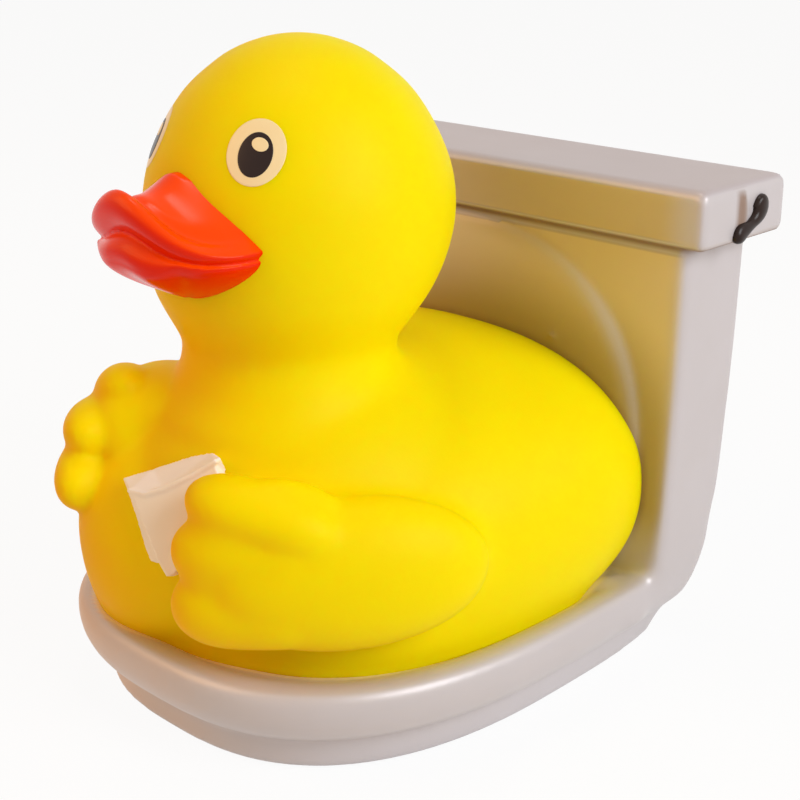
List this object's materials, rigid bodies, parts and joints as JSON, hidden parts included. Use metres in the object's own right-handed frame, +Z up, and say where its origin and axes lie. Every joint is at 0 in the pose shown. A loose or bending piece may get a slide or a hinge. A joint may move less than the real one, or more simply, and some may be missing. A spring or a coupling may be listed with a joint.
{
  "type": "rubber duck bath toy",
  "caption": "Hollow soft vinyl bath duck that sits in a toilet with its tank behind it, holding a sheet of paper, with a squeaker in the base.",
  "frame": {"origin": "middle of the base, on the surface that the duck stands on", "axes": "+Z up, -Y the way the duck looks, +X towards the side of the tank lid that carries the flush lever"},
  "size_m": [0.0886, 0.089, 0.0959],
  "materials": {
    "yellow_vinyl": "soft satin vinyl, moulded in its own colour",
    "case_resin": "plain moulded",
    "block_resin": "plain moulded",
    "reed_brass": "thin rolled strip",
    "toilet_paint": "sprayed pearl grey paint on vinyl",
    "bill_paint": "glossy orange red paint on vinyl",
    "eye_paint": "printed cream paint",
    "dark_paint": "printed dark paint",
    "paper_paint": "sprayed off-white paint on vinyl"
  },
  "bodies": {
    "root": {"duck_body": "yellow_vinyl", "squeaker_case": "case_resin", "reed_block": "block_resin", "reed": "reed_brass"}
  },
  "joints": []
}
